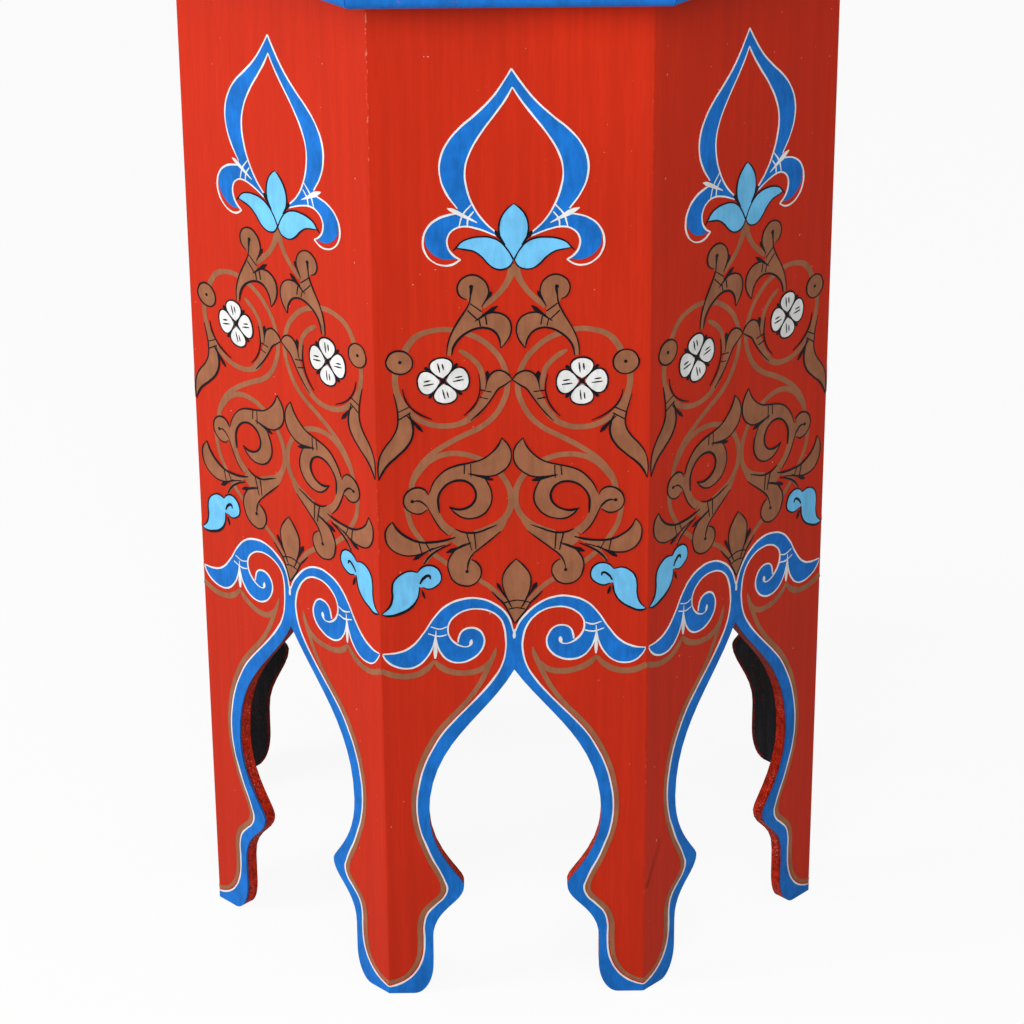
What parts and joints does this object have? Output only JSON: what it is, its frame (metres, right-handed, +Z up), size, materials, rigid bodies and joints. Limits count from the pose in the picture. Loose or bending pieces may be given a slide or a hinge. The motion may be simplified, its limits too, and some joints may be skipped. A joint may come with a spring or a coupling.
{
  "type": "painted side table",
  "caption": "Tall octagonal drum side table of painted boards with a cusped arch cut in each side, flat feet at the corners and an overhanging octagonal top.",
  "frame": {"origin": "on the floor, at the centre of the octagon", "axes": "+Z up along the drum's axis, -Y out of the front side"},
  "size_m": [0.3506, 0.3506, 0.5523],
  "materials": {
    "red_panel_paint": "hand-brushed satin red paint",
    "black_inside_paint": "thin matt black paint",
    "red_top_paint": "hand-brushed satin red paint",
    "blue_edge_paint": "hand-brushed satin blue paint",
    "light_blue_paint": "hand-brushed satin light blue paint",
    "brown_paint": "hand-brushed satin brown paint",
    "white_paint": "hand-brushed satin white paint",
    "black_line_paint": "thin black brush line",
    "zinc_steel": "dull zinc"
  },
  "bodies": {
    "root": {"cleat_brad_1a": "zinc_steel", "cleat_brad_1b": "zinc_steel", "cleat_brad_2a": "zinc_steel", "cleat_brad_2b": "zinc_steel", "cleat_brad_3a": "zinc_steel", "cleat_brad_3b": "zinc_steel", "cleat_brad_4a": "zinc_steel", "cleat_brad_4b": "zinc_steel", "cleat_brad_5a": "zinc_steel", "cleat_brad_5b": "zinc_steel", "cleat_brad_6a": "zinc_steel", "cleat_brad_6b": "zinc_steel", "cleat_brad_7a": "zinc_steel", "cleat_brad_7b": "zinc_steel", "cleat_brad_8a": "zinc_steel", "cleat_brad_8b": "zinc_steel", "corner_block_1": "black_inside_paint", "corner_block_2": "black_inside_paint", "corner_block_3": "black_inside_paint", "corner_block_4": "black_inside_paint", "corner_block_5": "black_inside_paint", "corner_block_6": "black_inside_paint", "corner_block_7": "black_inside_paint", "corner_block_8": "black_inside_paint", "side_panel_1": "red_panel_paint", "side_panel_2": "red_panel_paint", "side_panel_3": "red_panel_paint", "side_panel_4": "red_panel_paint", "side_panel_5": "red_panel_paint", "side_panel_6": "red_panel_paint", "side_panel_7": "red_panel_paint", "side_panel_8": "red_panel_paint", "top_board": "red_top_paint", "top_cleat_1": "black_inside_paint", "top_cleat_2": "black_inside_paint", "top_cleat_3": "black_inside_paint", "top_cleat_4": "black_inside_paint", "top_cleat_5": "black_inside_paint", "top_cleat_6": "black_inside_paint", "top_cleat_7": "black_inside_paint", "top_cleat_8": "black_inside_paint", "top_edge_strip_1": "blue_edge_paint", "top_edge_strip_2": "blue_edge_paint", "top_edge_strip_3": "blue_edge_paint", "top_edge_strip_4": "blue_edge_paint", "top_edge_strip_5": "blue_edge_paint", "top_edge_strip_6": "blue_edge_paint", "top_edge_strip_7": "blue_edge_paint", "top_edge_strip_8": "blue_edge_paint", "top_screw_1": "zinc_steel", "top_screw_2": "zinc_steel", "top_screw_3": "zinc_steel", "top_screw_4": "zinc_steel", "top_screw_5": "zinc_steel", "top_screw_6": "zinc_steel", "top_screw_7": "zinc_steel", "top_screw_8": "zinc_steel"}
  },
  "joints": []
}
